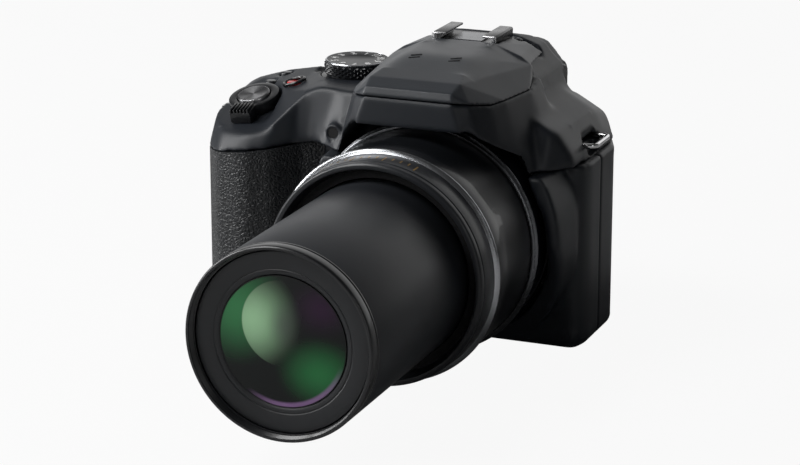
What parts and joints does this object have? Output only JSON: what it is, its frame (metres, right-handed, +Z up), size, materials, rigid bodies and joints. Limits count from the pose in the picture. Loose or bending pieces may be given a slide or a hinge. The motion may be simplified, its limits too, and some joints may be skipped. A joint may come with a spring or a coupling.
{
  "type": "bridge camera",
  "caption": "Bridge camera with a deep grip, an extending zoom lens, a raised viewfinder hump with a pop-up flash, an accessory shoe, top controls and a rear screen.",
  "frame": {"origin": "mouth of the tripod socket, in the plane of the base", "axes": "-Y the way the lens looks, +X from the grip to the plain side, +Z up through the accessory shoe"},
  "size_m": [0.1309, 0.1828, 0.0969],
  "materials": {
    "shell_plastic": "fine matte texture",
    "lid_plastic": "fine matte texture",
    "grip_rubber": "leather grain",
    "barrel_paint": "satin",
    "tube_plastic": "satin",
    "silver_metal": "polished edge",
    "dark_metal": "satin",
    "steel": "brushed",
    "socket_steel": "turned",
    "brass_contact": "satin",
    "optical_glass": "coated",
    "screen_glass": "glossy",
    "gloss_black": "glossy",
    "red_plastic": "glossy",
    "lamp_lens": "clear amber",
    "eyecup_rubber": "matte",
    "board_green": "satin",
    "cell_black": "satin",
    "cap_sleeve": "glossy",
    "flash_window": "ribbed"
  },
  "bodies": {
    "camera_body": {"front_case": "shell_plastic", "rear_case": "shell_plastic", "top_cover": "shell_plastic", "grip_cover": "grip_rubber", "chassis_plate": "steel", "tripod_socket": "socket_steel", "outer_barrel": "barrel_paint", "front_ring": "barrel_paint", "silver_ring": "silver_metal", "rear_ring": "silver_metal", "light_shield": "dark_metal", "lens_base": "tube_plastic", "guide_rods": "steel", "shutter_unit": "dark_metal", "image_sensor": "screen_glass", "main_board": "board_green", "zoom_motor": "steel", "battery": "cell_black", "memory_card": "gloss_black", "flash_capacitor": "cap_sleeve", "lcd_module": "steel", "lcd_glass": "screen_glass", "evf_module": "gloss_black", "eyecup": "eyecup_rubber", "speaker": "dark_metal", "af_lamp": "lamp_lens", "strap_eyelets": "steel", "port_sockets": "steel", "flash_hinge_pin": "steel"},
    "lens_tube": {"zoom_barrel": "tube_plastic", "filter_ring": "dark_metal", "name_ring": "gloss_black", "front_glass": "optical_glass"},
    "flash_unit": {"flash_lid": "lid_plastic", "hot_shoe": "steel", "shoe_contacts": "brass_contact", "flash_head": "flash_window"},
    "cam_ring": {"cam_ring": "dark_metal"},
    "variator_group": {"variator_group": "optical_glass"},
    "focus_group": {"focus_group": "optical_glass"},
    "mode_dial": {"mode_dial": "silver_metal"},
    "power_lever": {"power_lever": "gloss_black"},
    "zoom_lever": {"zoom_lever": "gloss_black"},
    "shutter_button": {"shutter_button": "silver_metal"},
    "record_button": {"record_button": "red_plastic"},
    "burst_button": {"burst_button": "gloss_black"},
    "focus_button": {"focus_button": "gloss_black"},
    "rear_dial": {"rear_dial": "gloss_black"},
    "lvf_button": {"lvf_button": "gloss_black"},
    "lock_button": {"lock_button": "gloss_black"},
    "play_button": {"play_button": "gloss_black"},
    "display_button": {"display_button": "gloss_black"},
    "quick_menu_button": {"quick_menu_button": "gloss_black"},
    "cursor_pad": {"cursor_pad": "gloss_black"},
    "set_button": {"set_button": "gloss_black"},
    "dioptre_wheel": {"dioptre_wheel": "gloss_black"},
    "battery_door": {"battery_door": "shell_plastic"},
    "battery_latch": {"battery_latch": "gloss_black"},
    "port_door": {"port_door": "shell_plastic"},
    "flash_button": {"flash_button": "gloss_black"}
  },
  "joints": [
    {"name": "lens_extension", "type": "slide", "parent": "camera_body", "child": "lens_tube", "axis": [0, 1, 0], "range_m": [0, 0.0635]},
    {"name": "cam_turn", "type": "hinge", "parent": "camera_body", "child": "cam_ring", "pos_m": [0, -0.05, 0.0387], "axis": [0, 1, 0], "range_deg": [0, 120]},
    {"name": "variator_slide", "type": "slide", "parent": "camera_body", "child": "variator_group", "axis": [0, 1, 0], "range_m": [0, 0.0205]},
    {"name": "focus_slide", "type": "slide", "parent": "camera_body", "child": "focus_group", "axis": [0, 1, 0], "range_m": [-0.004, 0.004]},
    {"name": "flash_hinge", "type": "hinge", "parent": "camera_body", "child": "flash_unit", "pos_m": [0, 0.006, 0.0912], "axis": [-1, 0, 0], "range_deg": [0, 30]},
    {"name": "mode_dial_turn", "type": "hinge", "parent": "camera_body", "child": "mode_dial", "pos_m": [-0.042, 0.003, 0.08], "axis": [0, 0, 1], "continuous": true},
    {"name": "power_lever_turn", "type": "hinge", "parent": "camera_body", "child": "power_lever", "pos_m": [-0.042, 0.003, 0.0767], "axis": [0, 0, 1], "range_deg": [0, 25]},
    {"name": "zoom_lever_turn", "type": "hinge", "parent": "camera_body", "child": "zoom_lever", "pos_m": [-0.0711, -0.0133, 0.0679], "axis": [-0.1082, -0.268, 0.9573], "range_deg": [-25, 25], "stiffness_Nm_per_rad": 0.02},
    {"name": "shutter_press", "type": "slide", "parent": "camera_body", "child": "shutter_button", "axis": [0.1082, 0.268, -0.9573], "range_m": [0, 0.0012], "stiffness_N_per_m": 800},
    {"name": "record_press", "type": "slide", "parent": "camera_body", "child": "record_button", "axis": [0, 0, -1], "range_m": [0, 0.0005], "stiffness_N_per_m": 1500},
    {"name": "burst_press", "type": "slide", "parent": "camera_body", "child": "burst_button", "axis": [0, 0, -1], "range_m": [0, 0.0005], "stiffness_N_per_m": 1500},
    {"name": "focus_press", "type": "slide", "parent": "camera_body", "child": "focus_button", "axis": [0, 0, -1], "range_m": [0, 0.0005], "stiffness_N_per_m": 1500},
    {"name": "rear_dial_turn", "type": "hinge", "parent": "camera_body", "child": "rear_dial", "pos_m": [-0.064, 0.0172, 0.0666], "axis": [0, 0, 1], "continuous": true},
    {"name": "lvf_press", "type": "slide", "parent": "camera_body", "child": "lvf_button", "axis": [0, -1, 0], "range_m": [0, 0.0005], "stiffness_N_per_m": 1500},
    {"name": "lock_press", "type": "slide", "parent": "camera_body", "child": "lock_button", "axis": [0, -1, 0], "range_m": [0, 0.0005], "stiffness_N_per_m": 1500},
    {"name": "play_press", "type": "slide", "parent": "camera_body", "child": "play_button", "axis": [0, -1, 0], "range_m": [0, 0.0005], "stiffness_N_per_m": 1500},
    {"name": "display_press", "type": "slide", "parent": "camera_body", "child": "display_button", "axis": [0, -1, 0], "range_m": [0, 0.0005], "stiffness_N_per_m": 1500},
    {"name": "quick_menu_press", "type": "slide", "parent": "camera_body", "child": "quick_menu_button", "axis": [0, -1, 0], "range_m": [0, 0.0005], "stiffness_N_per_m": 1500},
    {"name": "cursor_pad_press", "type": "slide", "parent": "camera_body", "child": "cursor_pad", "axis": [0, -1, 0], "range_m": [0, 0.0005], "stiffness_N_per_m": 1500},
    {"name": "set_press", "type": "slide", "parent": "camera_body", "child": "set_button", "axis": [0, -1, 0], "range_m": [0, 0.0005], "stiffness_N_per_m": 1500},
    {"name": "dioptre_turn", "type": "hinge", "parent": "camera_body", "child": "dioptre_wheel", "pos_m": [0.0218, 0.0188, 0.0795], "axis": [1, 0, 0], "range_deg": [-150, 150]},
    {"name": "battery_door_hinge", "type": "hinge", "parent": "camera_body", "child": "battery_door", "pos_m": [-0.0474, -0.0045, 0.0016], "axis": [0, -1, 0], "range_deg": [0, 90]},
    {"name": "latch_slide", "type": "slide", "parent": "battery_door", "child": "battery_latch", "axis": [0, 1, 0], "range_m": [0, 0.003]},
    {"name": "port_door_hinge", "type": "hinge", "parent": "camera_body", "child": "port_door", "pos_m": [-0.0842, 0.0072, 0.041], "axis": [0, 0, -1], "range_deg": [0, 100]},
    {"name": "flash_release_press", "type": "slide", "parent": "camera_body", "child": "flash_button", "axis": [1, 0, 0], "range_m": [0, 0.0006], "stiffness_N_per_m": 1500}
  ],
  "couplings": [
    {"joint": "cam_turn", "follows": "lens_extension", "rad_per_m": 32.9},
    {"joint": "variator_slide", "follows": "lens_extension", "ratio": 0.315}
  ]
}
